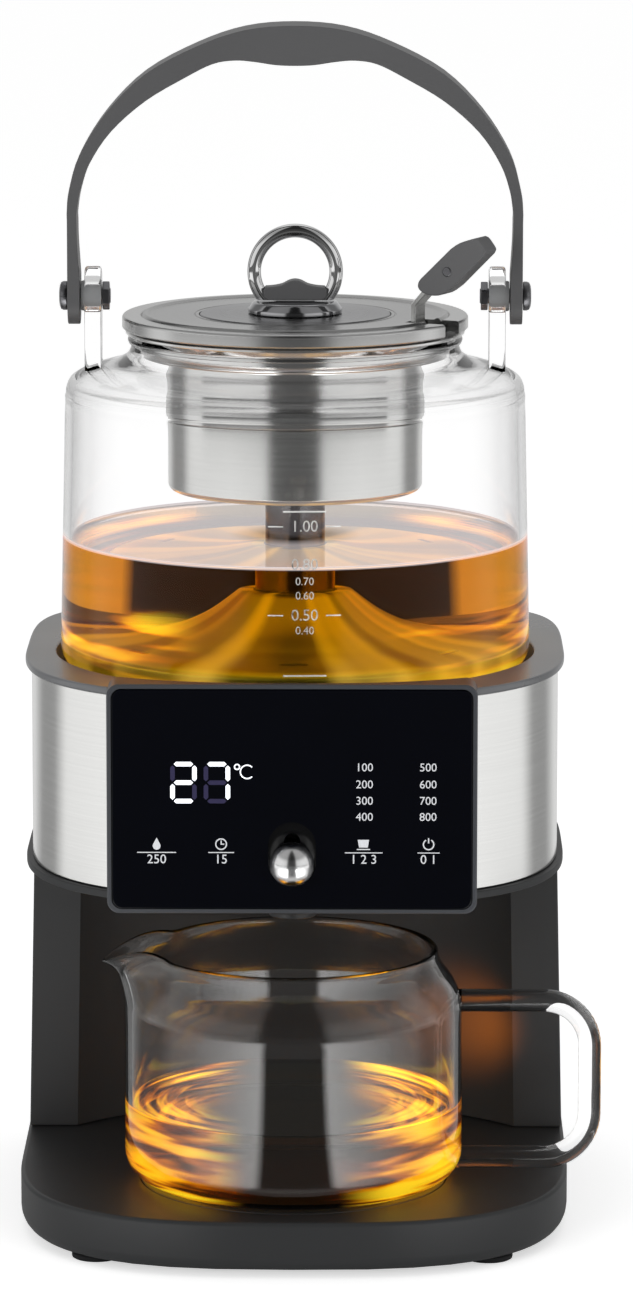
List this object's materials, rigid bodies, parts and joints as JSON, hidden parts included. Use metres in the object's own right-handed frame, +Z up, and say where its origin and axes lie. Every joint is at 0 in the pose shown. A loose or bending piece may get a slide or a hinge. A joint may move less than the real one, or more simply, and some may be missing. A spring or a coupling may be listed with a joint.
{
  "type": "tea and coffee brewer",
  "caption": "Countertop brewer: a glass kettle with bail, infuser basket and lid in a heated well, a touch panel with a ball lever, and a glass carafe in the niche below.",
  "frame": {"origin": "middle of the footprint on the table, under everything that stands there", "axes": "+Z up, -Y towards the user and the control panel, +X towards the carafe handle"},
  "size_m": [0.1902, 0.201, 0.3902],
  "materials": {
    "body_plastic": "satin charcoal",
    "collar_plastic": "satin grey",
    "brushed_steel": "brushed",
    "sheet_steel": "satin",
    "dark_steel": "satin",
    "chrome": "polished",
    "frame_plastic": "gloss",
    "panel_glass": "gloss black glass",
    "clear_glass": "clear",
    "grip_plastic": "matte",
    "bail_plastic": "matte",
    "grey_rubber": "matte",
    "dark_rubber": "matte",
    "silicone": "translucent",
    "circuit_board": "lacquered",
    "display_digits": "lit",
    "heater_metal": "dull",
    "plate_enamel": "enamel"
  },
  "bodies": {
    "machine": {"base_plate": "body_plastic", "base_cover": "body_plastic", "foot_front_left": "dark_rubber", "foot_front_right": "dark_rubber", "foot_rear_left": "dark_rubber", "foot_rear_right": "dark_rubber", "hot_plate": "plate_enamel", "hot_plate_heater": "heater_metal", "column_shell": "body_plastic", "rear_cover": "body_plastic", "cord_gland": "dark_rubber", "water_pump": "body_plastic", "water_inlet": "body_plastic", "power_board": "circuit_board", "head_underside": "body_plastic", "head_shell": "body_plastic", "steel_band": "brushed_steel", "top_collar": "collar_plastic", "heater_plate": "sheet_steel", "heating_element": "heater_metal", "temperature_probe": "sheet_steel", "drain_cup": "body_plastic", "drain_hose": "silicone", "supply_hose": "silicone", "panel_frame": "frame_plastic", "panel_glass": "panel_glass", "digit_display": "display_digits", "lever_cup": "chrome", "display_board": "circuit_board", "lever_pivot_pin": "sheet_steel", "lever_bracket": "body_plastic", "tap_body": "silicone", "outlet_nozzle": "body_plastic"},
    "lever": {"lever_ball": "chrome", "lever_stem": "sheet_steel"},
    "tap_valve": {"tap_plunger": "silicone"},
    "kettle": {"kettle_glass": "clear_glass", "kettle_valve_body": "sheet_steel", "pump_cone": "sheet_steel", "riser_tube": "sheet_steel", "pivot_bolt_left": "dark_steel", "pivot_sleeve_left": "grey_rubber", "pivot_nut_left": "dark_steel", "pivot_bolt_right": "dark_steel", "pivot_sleeve_right": "grey_rubber", "pivot_nut_right": "dark_steel"},
    "kettle_valve": {"valve_poppet": "silicone"},
    "bail": {"bail_handle": "bail_plastic"},
    "basket": {"basket_rim": "sheet_steel", "basket_handle_strip": "dark_steel", "basket_grip": "grip_plastic", "grip_rivet": "sheet_steel"},
    "infuser_cup": {"basket_cup": "brushed_steel"},
    "lid": {"lid_plate": "brushed_steel", "lid_gasket": "silicone", "lid_disc": "dark_steel", "knob_foot": "chrome", "knob_saddle": "grip_plastic", "knob_ring": "chrome"},
    "carafe": {"carafe_glass": "clear_glass"}
  },
  "joints": [
    {"name": "kettle_lift", "type": "slide", "parent": "machine", "child": "kettle", "axis": [0, 0, 1], "range_m": [0, 0.06]},
    {"name": "kettle_valve_close", "type": "slide", "parent": "kettle", "child": "kettle_valve", "axis": [0, 0, 1], "range_m": [-0.0022, 0]},
    {"name": "bail_swing", "type": "hinge", "parent": "kettle", "child": "bail", "pos_m": [-0.0051, 0.0105, 0.3013], "axis": [1, 0, 0], "range_deg": [-98, 98]},
    {"name": "basket_lift", "type": "slide", "parent": "kettle", "child": "basket", "axis": [0, 0, 1], "range_m": [0, 0.05]},
    {"name": "infuser_cup_twist", "type": "hinge", "parent": "basket", "child": "infuser_cup", "pos_m": [-0.0051, 0.0105, 0.25], "axis": [0, 0, 1], "range_deg": [0, 20]},
    {"name": "lid_lift", "type": "slide", "parent": "basket", "child": "lid", "axis": [0, 0, 1], "range_m": [0, 0.045]},
    {"name": "carafe_slide_out", "type": "slide", "parent": "machine", "child": "carafe", "axis": [0, -1, 0], "range_m": [0, 0.13]},
    {"name": "lever_tip", "type": "hinge", "parent": "machine", "child": "lever", "pos_m": [-0.0051, -0.0685, 0.1312], "axis": [-1, 0, 0], "range_deg": [0, 20]},
    {"name": "tap_open", "type": "slide", "parent": "machine", "child": "tap_valve", "axis": [0, 0, 1], "range_m": [-0.0044, 0]}
  ],
  "couplings": [
    {"joint": "tap_open", "follows": "lever_tip", "m_per_rad": -0.0122},
    {"joint": "kettle_valve_close", "follows": "kettle_lift", "ratio": -0.0366}
  ]
}
